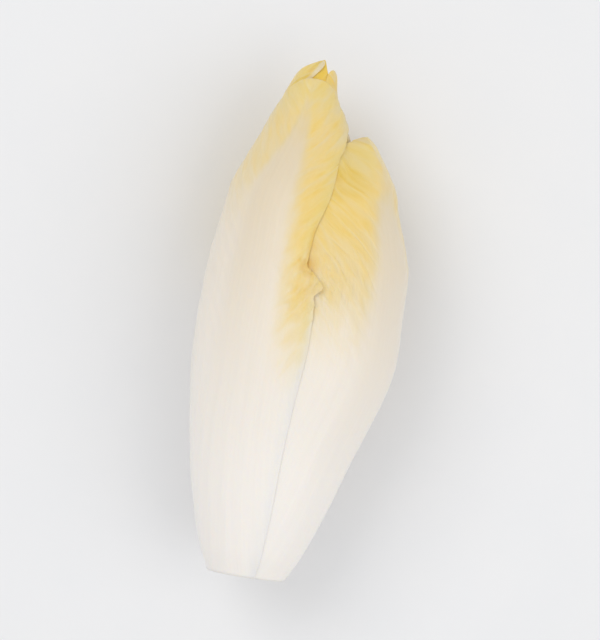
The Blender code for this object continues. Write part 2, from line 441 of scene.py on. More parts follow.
print(f"a tenth of the way up, {layer(len(LEAVES), 0.1, 0.0)[0]:.1f} mm are left for the stem")

# %% [markdown]
# ## Ribs, veins and crinkles
#
# From outside, a leaf shows a broad flat midrib that narrows to a thread at the tip, side veins that
# leave it at a slant, and a blade that puckers between them and waves at its edge. A bump map can't
# change an outline or throw a shadow, so the larger forms are real relief and only the fine fibres
# are left to the material.
#
# What is irregular comes from Blender's own smooth noise. Each use has a seed, which moves it to a
# fresh stretch of the noise, so no two leaves crinkle alike and each run gives the same head.

# %% Smooth noise
SEED_STEP = (7.3, 3.1, 0.0)
NOISE_SPAN = 1.4  # from the lowest value to the highest, near enough
WAVE_SEED, CRUMPLE_SEED, RUFFLE_SEED, FRAY_SEED = 40, 60, 80, 90


def smooth_noise(points, size, seed):
    """Noise between about -0.5 and 0.5, with bumps of about this size."""
    shift = Vector([step * seed for step in SEED_STEP])
    return np.array([noise.noise(Vector(point) / size + shift) for point in points]) / NOISE_SPAN


print("noise at two places:", smooth_noise([(1, 2, 3), (4, 5, 6)], 2.5, 0).round(2))

# %% [markdown]
# The midrib is the pale, fleshy middle of the leaf. It is 30 mm wide at the base, where it takes up
# nearly the whole leaf, and a millimetre at the tip.

# %% The midrib
RIB_HALF_WIDTH = (  # by share of the leaf's length
    (0.0, 15.0),
    (0.3, 11.5),
    (0.45, 8.2),
    (0.6, 7.8),
    (0.75, 6.5),
    (0.86, 3.0),
    (0.95, 1.0),
    (1.0, 0.5),
)
RIB_FLANK = (0.5, 1.5)  # shares of that half width over which it falls away


def midrib(leaf, skin):
    """1 on the midrib, and 0 on the blade."""
    half_width = curve(RIB_HALF_WIDTH, skin["upward"])
    rib = 1 - rise(np.abs(skin["across"]) / half_width, *RIB_FLANK)
    return leaf["rib"] * rib * (1 - rise(skin["upward"], *leaf["rib_to"]))


print(f"half way up a leaf, its midrib is {2 * curve(RIB_HALF_WIDTH, 0.5):.0f} mm wide")

# %% [markdown]
# The thin blade turns yellow, high up and away from the midrib, and often one side more than the
# other. One number says how yellow a point is. It is worked out here and kept on the mesh, because
# the leaf's outline is known here, and a shader can't see it.

# %% How yellow the blade is
SIDES_MEET = 5.0  # to each side, how far one side's yellow takes to give way to the other's
INNER_YELLOW = 0.8  # beside the midrib, as a share of that at the margin
LIT_MARGIN = (0.6, 1.0)  # how near the edge the margin's painted light starts, and where it is full
LIT_BELOW_TIP, LIT_ON_RIGHT = (0.93, 0.98), (0.85, 0.91)  # shares of the leaf's length
ROLL_WIDTH, ROLL_PALENESS = (0.8, 1.3), 0.65  # mm from the edge of the rolled leaf
RIB_YELLOWS, RIB_YELLOW = (0.8, 0.95), 0.5  # the midrib too is yellow near the tip


def ripeness(leaf, skin):
    """How yellow the blade is, from 0 to 1, which differs between the leaf's two sides."""
    left, right = (
        most * rise(skin["upward"], start, full) for start, full, most in leaf["ripe"]
    )
    side = rise(skin["across"], leaf["pale_to"] - SIDES_MEET, leaf["pale_to"] + SIDES_MEET)
    by_edge = INNER_YELLOW + (1 - INNER_YELLOW) * skin["share"]
    # Painted light: the margins are painted paler, standing in for light that shines through the thin
    # blade.
    pale = leaf["pale_edge"] * rise(skin["share"], *LIT_MARGIN)
    pale = pale * (1 - rise(skin["upward"], *LIT_BELOW_TIP))
    on_right = rise(skin["upward"], *LIT_ON_RIGHT)
    by_edge = by_edge * (1 - pale * np.where(skin["across"] > 0, 1.0, on_right))
    if leaf["place"] == ROLLED_PLACE:
        roll = (1 - rise(skin["from_edge"], *ROLL_WIDTH)) * (skin["across"] < 0)
        by_edge = by_edge * (1 - ROLL_PALENESS * roll)
    pale_rib = skin["rib"] * (1 - RIB_YELLOW * rise(skin["upward"], *RIB_YELLOWS))
    return (right + (left - right) * side) * by_edge * (1 - pale_rib)


print("a ripe, a slight and a full side are yellow by", [side[2] for side in (RIPE, SLIGHT, FULL)])

# %% [markdown]
# Chicory browns where it is torn or knocked. Noise with a threshold would scatter spots all over, but
# these few lie round the tear and near two edges, so each is a soft round spot with a place of its own.
# The torn leaf's spots are its browning at the tear. The loose leaf's spots are painted shade, in the
# notch of the tear and under the torn leaf's edge, and the rolled leaf's two are darker spots near its
# edge.

# %% Bruises and painted shade
BRUISES_AND_SHADE = {  # by the leaf's place: height, azimuth in degrees, size and strength
    TORN_PLACE: (
        (0.611, 92.0, 0.8, 0.6),
        (0.612, 95.0, 0.7, 0.4),
        (0.601, 91.0, 1.7, 0.7),
        (0.59, 88.0, 1.6, 0.6),
        (0.56, 84.0, 4.0, 0.25),
    ),
    # Painted shade: the loose leaf's spots darken it in the tear's notch and under the torn leaf's
    # edge.
    LOOSE_PLACE: (
        (0.606, 90.0, 2.2, 0.8),
        (0.64, 90.0, 2.0, 0.5),
        (0.775, 62.0, 1.2, 0.4),
        (0.811, 63.0, 1.4, 0.5),
    ),
    ROLLED_PLACE: (
        (0.974, 111.0, 0.8, 0.5),
        (0.963, 109.0, 0.9, 0.4),
    ),
}


def distance_on_head(height, azimuth, from_height, from_azimuth):
    """Millimetres along the head's surface from a place whose azimuth is in degrees."""
    along = (height - from_height) * HEAD_LENGTH
    turn = half_turn(azimuth - math.radians(from_azimuth))
    return np.hypot(along, turn * curve(HEAD_RADIUS, height))


def bruises_and_shade(leaf, height, azimuth):
    """How bruised a point is, or how dark its painted shade is, from 0 to 1."""
    found = np.zeros_like(height)
    for at, turn, size, strength in BRUISES_AND_SHADE.get(leaf["place"], ()):
        away = distance_on_head(height, azimuth, at, turn)
        found = np.maximum(found, strength * np.exp(-((away / size) ** 2)))
    return found


print("bruises:", sum(len(spots) for spots in BRUISES_AND_SHADE.values()))

# %% [markdown]
# Below the tear, the torn leaf's margin is ruffled, and it and the loose leaf are crumpled. One place
# is the centre of both, and each fades with the distance from it. Below the ruffle the torn margin is
# pale. Above it the margin is painted brown, partly the browning of a torn edge and partly painted
# shade of the seam where it lies on the loose leaf.

# %% What the tear did
TEAR_AT, TEAR_AZIMUTH = 0.568, 80.0
RUFFLE_LENGTH, RUFFLED_MARGIN = 0.03, (0.8, 1.0)
CRUMPLE_REACH = 8.0
PALE_RIM, PALE_RIM_ENDS, PALE_RIM_LOSS = (0.88, 1.0), (0.56, 0.59), 0.4
# The brown rim is partly browning and partly painted shade of the seam over the loose leaf.
BROWN_AND_SHADE_RIM, BROWN_AND_SHADE_STARTS, BROWN_AND_SHADE_ENDS, BROWN_AND_SHADE = (0.9, 1.0), (0.59, 0.61), (0.66, 0.7), 0.55


def add_crumple(skin, height, azimuth):
    away = distance_on_head(height, azimuth, TEAR_AT, TEAR_AZIMUTH)
    skin["crumple"] = np.exp(-((away / CRUMPLE_REACH) ** 2))


def add_torn_margin(skin, height):
    on_right = skin["across"] < 0
    ruffle = np.exp(-(((height - TEAR_AT) / RUFFLE_LENGTH) ** 2))
    skin["ruffle"] = ruffle * on_right * rise(skin["share"], *RUFFLED_MARGIN)
    pale = on_right * rise(skin["share"], *PALE_RIM) * (1 - rise(height, *PALE_RIM_ENDS))
    skin["ripe"] = skin["ripe"] * (1 - PALE_RIM_LOSS * pale)
    # Partly browning of the torn edge and partly painted shade of the seam where it lies on the loose
    # leaf.
    torn = rise(height, *BROWN_AND_SHADE_STARTS) * (1 - rise(height, *BROWN_AND_SHADE_ENDS))
    browned = BROWN_AND_SHADE * torn * on_right * rise(skin["share"], *BROWN_AND_SHADE_RIM)
    skin["bruise_and_shade"] = np.maximum(skin["bruise_and_shade"], browned)


print(f"the tear's centre is {TEAR_AT * HEAD_LENGTH:.0f} mm from the cut end")


# %% All that is known of a point of the skin
def skin_places(leaf, height, azimuth):
    """Where points lie on their leaf, in millimetres and in shares, and what the skin is like."""
    turn = half_turn(azimuth - midrib_azimuth(leaf, height))
    radius = curve(HEAD_RADIUS, height)
    above_base = height - leaf["base"]
    share, outside = place_in_leaf(leaf, height, azimuth)
    skin = {
        "across": turn * radius,
        "along": above_base * HEAD_LENGTH,
        "upward": above_base / (leaf["tip"] - leaf["base"]),
        "share": share,
        "from_edge": -outside * np.minimum(1, radius / FULL_REACH_RADIUS),
        "bruise_and_shade": bruises_and_shade(leaf, height, azimuth),
        "ruffle": np.zeros_like(height),
        "crumple": np.zeros_like(height),
    }
    skin["rib"] = midrib(leaf, skin)
    skin["ripe"] = ripeness(leaf, skin)
    if leaf["place"] in (TORN_PLACE, LOOSE_PLACE):
        add_crumple(skin, height, azimuth)
    if leaf["place"] == TORN_PLACE:
        add_torn_margin(skin, height)
    return skin


sample = skin_places(LEAVES[LOOSE_PLACE], np.array([0.7]), np.array([math.radians(60.0)]))
print("one point of the loose leaf:", {name: float(sample[name].round(2)[0]) for name in sample})

# %% [markdown]
# The outer face is raised along the midrib and over each side vein. Low on the leaf, shallow flutes
# run along the flesh instead. Side veins are 5 to 6 mm apart, and they rise a little more steeply
# than they run out.

# %% Raise the veins
RIB_HEIGHT, RIB_FULL_AT = 0.35, 0.3
VEIN_SPACING, VEIN_RISE, VEIN_HEIGHT = 5.5, 1.1, 0.1
VEIN_SHARPNESS = 4
FLUTE_SPACING, FLUTE_HEIGHT = 4.6, 0.05
STRAY, STRAY_SIZE = 0.35, 14.0  # veins and flutes stray by this share of their spacing
SMOOTH_MARGIN, VEINS_START = (0.8, 1.0), (0.3, 0.6)


def raised(leaf, skin, points):
    """Height of the rib, veins and flutes on the outer face."""
    blade = (1 - skin["rib"]) * (1 - rise(skin["share"], *SMOOTH_MARGIN))
    stray = STRAY * smooth_noise(points, STRAY_SIZE, leaf["place"])
    phase = (skin["along"] - VEIN_RISE * np.abs(skin["across"])) / VEIN_SPACING + stray
    vein = (0.5 + 0.5 * np.cos(2 * math.pi * phase)) ** VEIN_SHARPNESS
    flute = np.cos(2 * math.pi * (skin["across"] / FLUTE_SPACING + stray))
    high_up = rise(skin["upward"], *VEINS_START)
    height = RIB_HEIGHT * skin["rib"] * rise(skin["upward"], 0.0, RIB_FULL_AT)
    height = height + VEIN_HEIGHT * vein * blade * high_up
    return height + FLUTE_HEIGHT * flute * (1 - high_up)


print(f"side veins on a whole leaf: about {HEAD_LENGTH / VEIN_SPACING:.0f} to a side")

# %% [markdown]
# The blade grows faster than its veins, so it puckers between them and waves at its margin. Both faces
# move together here, because the blade is thin and bends as one sheet. A leaf that others hold down
# stays flat, so this is scaled later by how free the leaf is.

# %% Pucker, wave, ruffle and crumple
PUCKER_WIDTH, PUCKER_LENGTH, PUCKER_HEIGHT = 3.8, 7.0, 0.4
WAVE_SIZE, WAVE_HEIGHT = 6.0, 0.45
WAVY_MARGIN, WAVES_START = (0.7, 1.0), (0.35, 0.7)
RUFFLE_SIZE, RUFFLE_HEIGHT = 2.6, 1.1
CRUMPLE_SIZE, CRUMPLE_HEIGHT = 3.6, 1.0


def waves(leaf, skin, points):
    """How far the whole leaf, both faces, strays outward from its place in the head."""
    out = np.abs(skin["across"])
    slant = (skin["along"] - VEIN_RISE * out) / PUCKER_WIDTH
    beside_veins = np.stack([out / PUCKER_LENGTH, slant, np.sign(skin["across"])], axis=-1)
    pucker = PUCKER_HEIGHT * smooth_noise(beside_veins, 1.0, leaf["place"]) * (1 - skin["rib"])
    wave = WAVE_HEIGHT * (0.5 + smooth_noise(points, WAVE_SIZE, WAVE_SEED + leaf["place"]))
    wave = pucker + wave * rise(skin["share"], *WAVY_MARGIN)
    wave = wave * rise(skin["upward"], *WAVES_START)
    if leaf["place"] in (TORN_PLACE, LOOSE_PLACE):
        ruffle = RUFFLE_HEIGHT * (0.5 + smooth_noise(points, RUFFLE_SIZE, RUFFLE_SEED))
        fold = CRUMPLE_HEIGHT * 2 * np.abs(smooth_noise(points, CRUMPLE_SIZE, CRUMPLE_SEED))
        wave = wave + ruffle * skin["ruffle"] + fold * skin["crumple"]
    return wave


print(f"a blade puckers by up to {PUCKER_HEIGHT / 2:.1f} mm each way")

# %% [markdown]
# ## From a flat blank to a leaf
#
# Each leaf starts as a flat grid. Extruding it once gives the second skin and closes the rim in one
# step, with no loose faces. Its upper half is then drawn in to an oval, and every point is laid on
# the head, the first skin on the outside and the second one a leaf's thickness further in.
#
# Columns are closer together near the edges, where the leaf thins to a fine rounded rim.

# %% A flat slab
def flat_slab(across, lower, upper):
    """A closed slab as a bmesh, and each vertex's column, row and skin, 0 outside and 1 inside.

    Columns run from -1 to 1, and rows are counted from the leaf's widest place.
    """
    bm = bmesh.new()
    bmesh.ops.create_grid(bm, x_segments=across, y_segments=lower + upper, size=1.0)
    made = bmesh.ops.extrude_face_region(bm, geom=bm.faces[:], use_keep_orig=True)["geom"]
    inside = [item for item in made if isinstance(item, bmesh.types.BMVert)]
    bmesh.ops.translate(bm, verts=inside, vec=(0, 0, 1))
    column, row, inner = np.array([vert.co for vert in bm.verts]).T
    return bm, column, (row + 1) / 2 * (lower + upper) - lower, inner


slab = flat_slab(4, 3, 2)[0]
print("a slab of 4 by 5 faces a side has", len(slab.faces), "faces with its rim")
slab.free()

# %% Draw the slab in to a leaf's outline
CLOSE_AT_EDGE, CLOSE_AT_TIP = 1.5, 1.35
FRAY, FRAY_SIZE, FRAY_LENGTH = math.radians(9.0), 3.0, 1.4 * RUFFLE_LENGTH
FRAY_NARROWNESS = 3  # how fast it fades away from the margin


def fray(height, side):
    """A small stray of the torn leaf's right margin, in radians."""
    points = np.stack([height * HEAD_LENGTH, 0 * height, 0 * height], axis=-1)
    window = np.exp(-(((height - TEAR_AT) / FRAY_LENGTH) ** 2))
    stray = FRAY * smooth_noise(points, FRAY_SIZE, FRAY_SEED) * window
    return stray * np.clip(-side, 0, 1) ** FRAY_NARROWNESS


def outline(leaf, column, row, lower, upper):
    """Each vertex's height and azimuth: the upper rows become a half disc, and that the oval."""
    side = np.sign(column) * (1 - (1 - np.abs(column)) ** CLOSE_AT_EDGE)
    above = 1 - (1 - np.clip(row / upper, 0, 1)) ** CLOSE_AT_TIP
    side, above = side * np.sqrt(1 - above**2 / 2), above * np.sqrt(1 - side**2 / 2)
    oval = (np.abs(side) ** leaf["blunt"] + above ** leaf["blunt"]) ** (1 / leaf["blunt"])
    pull = np.where(above > 0, np.hypot(side, above) / np.maximum(oval, TINY), 1.0)
    side, above = side * pull, above * pull
    below = np.minimum(row / lower, 0)
    height = leaf["widest_at"] + above * (leaf["tip"] - leaf["widest_at"])
    height = height + below * (leaf["widest_at"] - leaf["base"])
    azimuth = midrib_azimuth(leaf, height) + side * half_angle(leaf, height, side > 0)
    if leaf["place"] == TORN_PLACE:
        azimuth = azimuth + fray(height, side)
    return height, azimuth


corner = outline(LEAVES[2], np.array([1.0]), np.array([-3.0]), 3, 2)
print("a lower corner of the blank lands at height", corner[0].round(3))

# %% [markdown]
# A leaf's thickness takes its inner face further in. Over the last few hundredths of its width the
# outer face comes down too, in a quarter round, so the rim lies on the next leaf with no dark seam.

# %% Lay a leaf on the head
RIM_SHARE, RIM_THICKNESS = 0.965, 0.07


def lay_on_head(leaf, height, azimuth, inner):
    """The places of points of the outer face, where inner is 0, and of the inner one, in mm."""
    radius, free = layer(leaf["place"], height, azimuth)
    skin = skin_places(leaf, height, azimuth)
    plain = on_head(height, azimuth, radius)
    wall = thickness(leaf, height, skin["share"])
    to_rim = np.clip((skin["share"] - RIM_SHARE) / (1 - RIM_SHARE), 0, 1)
    rounded = RIM_THICKNESS + (wall - RIM_THICKNESS) * np.sqrt(1 - to_rim**2)
    radius = radius - (wall - rounded)
    radius = radius + free * waves(leaf, skin, plain)
    radius = radius + (1 - inner) * free * raised(leaf, skin, plain)
    radius = above_table(azimuth, radius)
    return on_head(height, azimuth, radius - inner * rounded), skin


print(f"a rim is {RIM_THICKNESS} mm thick, and a leaf {EDGE_THICKNESS} mm just beside it")

# %% [markdown]
# The material has to know where on its leaf a point is. The leaf's own map holds that in millimetres,
# across from the midrib and along from the base, and a few values more are kept on every vertex.

# %% Model a leaf
LEAF_VALUES = ("upward", "rib", "ripe", "bruise_and_shade", "crumple")


def finish_mesh(bm, places, name):
    """Move the vertices to their places, in mm, and make the bmesh a smooth mesh."""
    for vert, place in zip(bm.verts, places * MM):
        vert.co = place
    bmesh.ops.recalc_face_normals(bm, faces=bm.faces)
    mesh = bpy.data.meshes.new(name)
    bm.to_mesh(mesh)
    bm.free()
    mesh.shade_smooth()
    return mesh


def keep_value(mesh, name, values):
    """Keep one number a vertex on the mesh, for its material."""
    kept = mesh.attributes.new(name, "FLOAT", "POINT")
    kept.data.foreach_set("value", values.astype(np.float32))


def new_piece(name, mesh):
    piece = bpy.data.objects.new(name, mesh)
    bpy.context.scene.collection.objects.link(piece)
    return piece


def model_leaf(leaf, across, lower, upper):
    bm, column, row, inner = flat_slab(across, lower, upper)
    height, azimuth = outline(leaf, column, row, lower, upper)
    places, skin = lay_on_head(leaf, height, azimuth, inner)
    mesh = finish_mesh(bm, places, leaf["name"] + "_skin")
    corners = np.empty(len(mesh.loops), dtype=np.int32)
    mesh.loops.foreach_get("vertex_index", corners)
    on_leaf = np.stack([skin["across"], skin["along"]], axis=-1)[corners]
    mesh.uv_layers.new(name="leaf_mm").uv.foreach_set("vector", on_leaf.ravel())
    for name in LEAF_VALUES:
        keep_value(mesh, name, skin[name])
    return new_piece(leaf["name"] + "_blade", mesh)


print("values kept on a leaf:", ", ".join(LEAF_VALUES))

# %% Model all the leaves
CRUMPLED_MESH = (110, 130, 90)  # faces across a leaf, and along its lower and upper part
SHOWN_MESH = (76, 84, 64)
HIDDEN_MESH = (32, 40, 30)


def mesh_size(place):
    """Leaves that show get smaller faces, and the crumpled ones the smallest."""
    if place in (TORN_PLACE, LOOSE_PLACE):
        return CRUMPLED_MESH
    return SHOWN_MESH if place < len(OWN_NUMBERS) else HIDDEN_MESH


pieces = [model_leaf(leaf, *mesh_size(leaf["place"])) for leaf in LEAVES]
print("faces in the leaves:", sum(len(piece.data.polygons) for piece in pieces))

# %% [markdown]
# The bent axis leaves the head a little to one side. The frame has the head's middle at X = 0, so all
# leaves move over together.

# %% Centre the head
across = [vert.co.x for piece in pieces for vert in piece.data.vertices]
off_centre = (min(across) + max(across)) / 2
to_centre = Matrix.Translation((-off_centre, 0, 0))
for piece in pieces:
    piece.data.transform(to_centre)
print(f"moved {-off_centre / MM:.2f} mm to the middle")

# %% [markdown]
# ## The stem
#
# The leaves grow from a short solid stem. It was cut across with a knife, which leaves a flat moist
# face with a faintly browned rim. A plain cone would cut into the leaf bases, so a profile is spun
# round the axis and then pressed in wherever the base of a leaf lies on it.

# %% Spin the stem's profile
STEM_HEIGHT = 0.3
STEM_RADIUS = ((0.0, 10.2), (0.08, 9.4), (0.2, 6.6), (0.27, 3.6), (0.3, 0.0))
STEM_SIDES, STEM_RINGS, CUT_RINGS = 72, 60, 14
MERGE_WITHIN = 1e-5


def spin_stem():
    """The stem as a bmesh, with its radius along X and Z and its height, a share, along Y."""
    heights = np.linspace(0, STEM_HEIGHT, STEM_RINGS)
    wall = list(zip(curve(STEM_RADIUS, heights), heights))
    cut = [(radius, 0.0) for radius in np.linspace(0, wall[0][0], CUT_RINGS)[:-1]]
    bm = bmesh.new()
    verts = [bm.verts.new((radius, height, 0)) for radius, height in cut + wall]
    edges = [bm.edges.new(pair) for pair in zip(verts, verts[1:])]
    axis = {"cent": (0, 0, 0), "axis": (0, 1, 0), "angle": math.tau, "steps": STEM_SIDES}
    bmesh.ops.spin(bm, geom=verts + edges, use_merge=True, use_duplicate=False, **axis)
    bmesh.ops.remove_doubles(bm, verts=bm.verts, dist=MERGE_WITHIN)
    return bm


print(f"the stem is {STEM_HEIGHT * HEAD_LENGTH:.0f} mm long inside the head")

# %% Press the stem in between the leaf bases
STEM_CLEARANCE = 0.05
CUT_EDGE_ANGLE = math.radians(50.0)  # the knife leaves a sharp edge, and the rest is smooth


def model_stem():
    bm = spin_stem()
    x, height, z = np.array([vert.co for vert in bm.verts]).T
    azimuth, radius = np.arctan2(z, x), np.hypot(x, z)
    room = layer(len(LEAVES), height, azimuth)[0] - STEM_CLEARANCE
    full = curve(STEM_RADIUS, height)
    share = np.where(full > 0, radius / np.maximum(full, TINY), 0)
    places = on_head(height, azimuth, np.minimum(full, room) * share)
    mesh = finish_mesh(bm, places, "stem_skin")
    mesh.set_sharp_from_angle(angle=CUT_EDGE_ANGLE)
    keep_value(mesh, "rim", share)
    mesh.transform(to_centre)
    return new_piece("stem_core", mesh)


stem = model_stem()
print("faces in the stem:", len(stem.data.polygons))

# %% [markdown]
# ## Colours and nodes
#
# Colours are written as sRGB hex values, as on a paint chart, and a shader takes linear ones. One
# small function adds every node, so a material reads from top to bottom as its surface is built up.

# %% Helpers for materials
SMOOTH = {"interpolation_type": "SMOOTHSTEP"}
COLOURS = {"data_type": "RGBA", "output": 2}  # Mix takes its share as 0 and the colours as 6 and 7


def linear(colour):
    """An sRGB hex colour as a linear one. The numbers are those of the sRGB standard."""
    shares = np.array([int(colour[i : i + 2], 16) / 255 for i in (0, 2, 4)])
    curved = ((shares + 0.055) / 1.055) ** 2.4
    return (*np.where(shares <= 0.04045, shares / 12.92, curved), 1.0)


def add(tree, kind, inputs=(), output=0, **settings):
    """Add a node with these settings, and return one of its outputs.

    Inputs go by place or, in a dict, by name, and each is a value or another node's output.
    """
    node = tree.nodes.new("ShaderNode" + kind)
    for name, value in settings.items():
        setattr(node, name, value)
    for name, value in inputs.items() if isinstance(inputs, dict) else enumerate(inputs):
        if isinstance(value, bpy.types.NodeSocket):
            tree.links.new(value, node.inputs[name])
        else:
            node.inputs[name].default_value = value
    return node.outputs[output]


def new_material(name, **settings):
    """A Principled material with these even values, and its tree and shader."""
    material = bpy.data.materials.new(name)
    material.use_nodes = True
    shader = material.node_tree.nodes["Principled BSDF"]
    for setting, value in settings.items():
        shader.inputs[setting.replace("_", " ")].default_value = value
    return material, material.node_tree, shader


print("the yellow e8c961 is linear", [round(float(share), 3) for share in linear("e8c961")])

# %% [markdown]
# ## What a witloof leaf looks like
#
# The blade is yellow where it is thin and high up, the midrib stays a pale beige, and the side veins
# are paler than the blade between them. An image would have to be painted again for each leaf, and
# patterns on the leaf's own map fit every one.
#
# The yellow is cloudy over about a centimetre, and it is deeper in the pleats between the side veins,
# which are 3 to 5 mm wide. Round the tear the blade is creased lengthwise.

# %% Where a leaf is yellow
CLOUD_SIZE, CLOUD_SHARE = 9.0, 0.6
PLEAT_WIDTH, PLEAT_LENGTH, PLEAT_SHARE = 3.6, 4.4, 1.0
FOLD_WIDTH, FOLD_LENGTH, FOLD_SHARE = 1.8, 9.0, 2.0
CRINKLE_SIZE = 1.5
CLOUDS = {"Scale": 1 / CLOUD_SIZE, "Detail": 3.0}
PLEATS = {"Scale": 1.0, "Detail": 1.0, "Distortion": 0.7}
FOLDS = {"Scale": 1.0, "Detail": 2.0}
CRINKLES = {"Scale": 1 / CRINKLE_SIZE, "Detail": 2.0}


def leaf_places(tree):
    """What the shader can ask about a point of a leaf."""
    on_leaf = add(tree, "UVMap", uv_map="leaf_mm")
    across = add(tree, "SeparateXYZ", (on_leaf,), output="X")
    along = add(tree, "SeparateXYZ", (on_leaf,), output="Y")
    out = add(tree, "Math", (across,), operation="ABSOLUTE")
    slant = add(tree, "Math", (out, -VEIN_RISE, along), operation="MULTIPLY_ADD")
    veinwise = add(tree, "CombineXYZ", (across, slant))
    size = (1 / PLEAT_LENGTH, 1 / PLEAT_WIDTH, 1.0)
    veinwise = add(tree, "Mapping", {"Vector": veinwise, "Scale": size})
    size = (1 / FOLD_WIDTH, 1 / FOLD_LENGTH, 1.0)
    lengthwise = add(tree, "Mapping", {"Vector": on_leaf, "Scale": size})
    patterns = {
        "cloud": {"Vector": on_leaf, **CLOUDS},
        "pleat": {"Vector": veinwise, **PLEATS},
        "fold": {"Vector": lengthwise, **FOLDS},
        "crinkle": {"Vector": on_leaf, **CRINKLES},
    }
    places = {name: add(tree, "TexNoise", pattern) for name, pattern in patterns.items()}
    places.update({"map": on_leaf, "slant": slant})
    for name in LEAF_VALUES:
        places[name] = add(tree, "Attribute", output="Fac", attribute_name=name)
    return places


def yellowness(tree, at):
    """0 in the white flesh and the midrib, and 1 in the ripe blade, with clouds and pleats."""
    even = 1 - CLOUD_SHARE / 2
    cloud = add(tree, "Math", (at["cloud"], CLOUD_SHARE, even), operation="MULTIPLY_ADD")
    even = 1 - PLEAT_SHARE / 2
    pleat = add(tree, "Math", (at["pleat"], PLEAT_SHARE, even), operation="MULTIPLY_ADD")
    crumple = add(tree, "Math", (at["crumple"], FOLD_SHARE), operation="MULTIPLY")
    fold = add(tree, "Math", (at["fold"], 0.5), operation="SUBTRACT")
    fold = add(tree, "Math", (fold, crumple), operation="MULTIPLY")
    shades = add(tree, "Math", (cloud, pleat, fold), operation="MULTIPLY_ADD")
    return add(tree, "Math", (at["ripe"], shades), operation="MULTIPLY")


print(f"pleats: {PLEAT_WIDTH} by {PLEAT_LENGTH} mm, clouds: {CLOUD_SIZE:.0f} mm")

# %% [markdown]
# Side veins leave the midrib at the same slant as in the relief, and a net of finer threads joins
# them. The threads of a real leaf are a tenth of a millimetre wide. They are drawn two to four times
# as wide, as fine as still shows. The fibres of the flesh are drawn coarser than they are, too.

# %% Veins and fibres
VEIN_WIDTH, VEIN_STRAY = 0.7, 1.5  # the stray is in vein spacings
NET_SIZE, THREAD_SHARE, THREAD_STRENGTH = 2.2, 0.1, 0.25
FIBRE_WIDTH, FIBRE_LENGTH = 0.8, 28.0
FIBRES = {"Scale": 1.0, "Detail": 2.0}


def vein_lines(tree, at):
    """1 on a vein and 0 between veins."""
    stray = VEIN_SPACING * VEIN_STRAY
    phase = add(tree, "Math", (at["cloud"], stray, at["slant"]), operation="MULTIPLY_ADD")
    from_vein = add(tree, "Math", (phase, VEIN_SPACING / 2), operation="PINGPONG")
    vein = add(tree, "MapRange", (from_vein, 0.0, VEIN_WIDTH, 1.0, 0.0), **SMOOTH)
    net = {"Vector": at["map"], "Scale": 1 / NET_SIZE}
    net = add(tree, "TexVoronoi", net, output="Distance", feature="DISTANCE_TO_EDGE")
    thread = add(tree, "MapRange", (net, 0.0, THREAD_SHARE, THREAD_STRENGTH, 0.0), **SMOOTH)
    return add(tree, "Math", (vein, thread), operation="MAXIMUM")


def fibres(tree, at):
    """Streaks that run the whole length of the flesh."""
    size = (1 / FIBRE_WIDTH, 1 / FIBRE_LENGTH, 1.0)
    place = add(tree, "Mapping", {"Vector": at["map"], "Scale": size})
    return add(tree, "TexNoise", {"Vector": place, **FIBRES})


print(f"vein lines: {2 * VEIN_WIDTH:.1f} mm wide, {VEIN_SPACING} mm apart")

# %% [markdown]
# The leaf's colours go from the white of the flesh, by the cream of a thin blade, to the yellow of a
# ripe one, and all of them grow warmer towards the tip, the midrib most of all.

# %% Colours of a leaf
FLESH_LOW, FLESH_HIGH = linear("f3eee8"), linear("dfceae")
THIN_LOW, THIN_HIGH = linear("f0deb0"), linear("dfca98")
BLADE_DEEP = linear("e6c252")
# The bruise colour also paints shade into the loose leaf and along the torn leaf's margin.
VEIN_COLOUR, BRUISE_AND_SHADE_COLOUR = linear("f3e7c6"), linear("dfb04e")
WARMER, BLADE_WARMS = (0.1, 1.0), 0.7  # along the leaf, and how much less the blade does it
THIN_AT, YELLOW_AT, DEEP_AT = (0.0, 0.5), (0.3, 1.0), (0.8, 1.3)  # by how yellow it is
VEIN_SHOWS, FIBRE_SHOWS = 0.07, 0.04


def leaf_colour(tree, at, ripe, lines, streak, yellow):
    warm = add(tree, "MapRange", (at["upward"], *WARMER), **SMOOTH)
    part = (at["rib"], 1 - BLADE_WARMS, BLADE_WARMS)
    part = add(tree, "Math", part, operation="MULTIPLY_ADD")
    warm = add(tree, "Math", (warm, part), operation="MULTIPLY")
    flesh = add(tree, "Mix", {0: warm, 6: FLESH_LOW, 7: FLESH_HIGH}, **COLOURS)
    thin = add(tree, "Mix", {0: warm, 6: THIN_LOW, 7: THIN_HIGH}, **COLOURS)
    colour = flesh
    for step, riper in ((THIN_AT, thin), (YELLOW_AT, yellow), (DEEP_AT, BLADE_DEEP)):
        share = add(tree, "MapRange", (ripe, *step), **SMOOTH)
        colour = add(tree, "Mix", {0: share, 6: colour, 7: riper}, **COLOURS)
    veins = add(tree, "Math", (lines, VEIN_SHOWS), operation="MULTIPLY")
    # Veins, then bruises and painted shade, are mixed over the colour.
    for share, mark in ((veins, VEIN_COLOUR), (at["bruise_and_shade"], BRUISE_AND_SHADE_COLOUR)):
        colour = add(tree, "Mix", {0: share, 6: colour, 7: mark}, **COLOURS)
    value = (streak, FIBRE_SHOWS, 1 - FIBRE_SHOWS / 2)
    value = add(tree, "Math", value, operation="MULTIPLY_ADD")
    return add(tree, "HueSaturation", {"Value": value, "Color": colour})


print("a ripe blade is deepest from", DEEP_AT[1], "on the scale of yellow")

# %% [markdown]
# What is too fine for the mesh is left to a bump: the lines of the veins and fibres, a few hundredths
# of a millimetre high, the pleats of the yellow blade and the creases round the tear.

# %% Fine relief of a leaf
LINE_RELIEF, PLEAT_RELIEF, CRUMPLE_RELIEF = 0.06, 0.16, 0.5
CRINKLE_SHARE = 0.4


